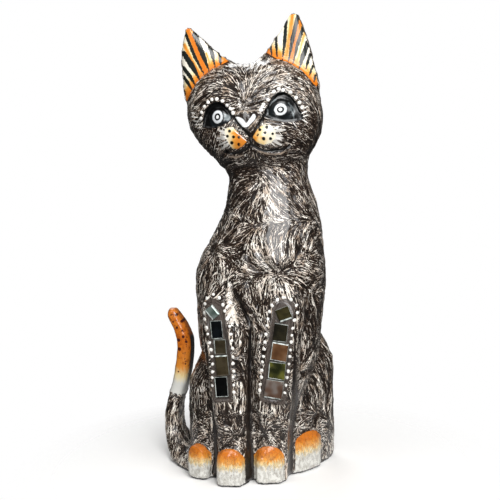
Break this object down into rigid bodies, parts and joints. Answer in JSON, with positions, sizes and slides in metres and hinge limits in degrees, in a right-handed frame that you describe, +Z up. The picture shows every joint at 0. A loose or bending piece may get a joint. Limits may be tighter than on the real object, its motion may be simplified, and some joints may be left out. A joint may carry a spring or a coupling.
{
  "type": "wooden cat sculpture",
  "caption": "Upright sitting cat carved in one piece of painted wood, with a raised tail and mirror tiles let into its forelegs.",
  "frame": {"origin": "on the flat underside, below the groove between the forelegs and about half way from front to back", "axes": "+Z up, the cat faces -Y, +X to the cat's left"},
  "size_m": [0.1238, 0.0887, 0.319],
  "materials": {
    "painted_wood": "dark brown paint under gloss varnish",
    "mirror_glass": "polished"
  },
  "bodies": {
    "root": {"carved_cat": "painted_wood", "mirror_tile_right_1": "mirror_glass", "mirror_tile_right_2": "mirror_glass", "mirror_tile_right_3": "mirror_glass", "mirror_tile_right_4": "mirror_glass", "mirror_tile_right_5": "mirror_glass", "mirror_tile_left_1": "mirror_glass", "mirror_tile_left_2": "mirror_glass", "mirror_tile_left_3": "mirror_glass", "mirror_tile_left_4": "mirror_glass", "mirror_tile_left_5": "mirror_glass"}
  },
  "joints": []
}
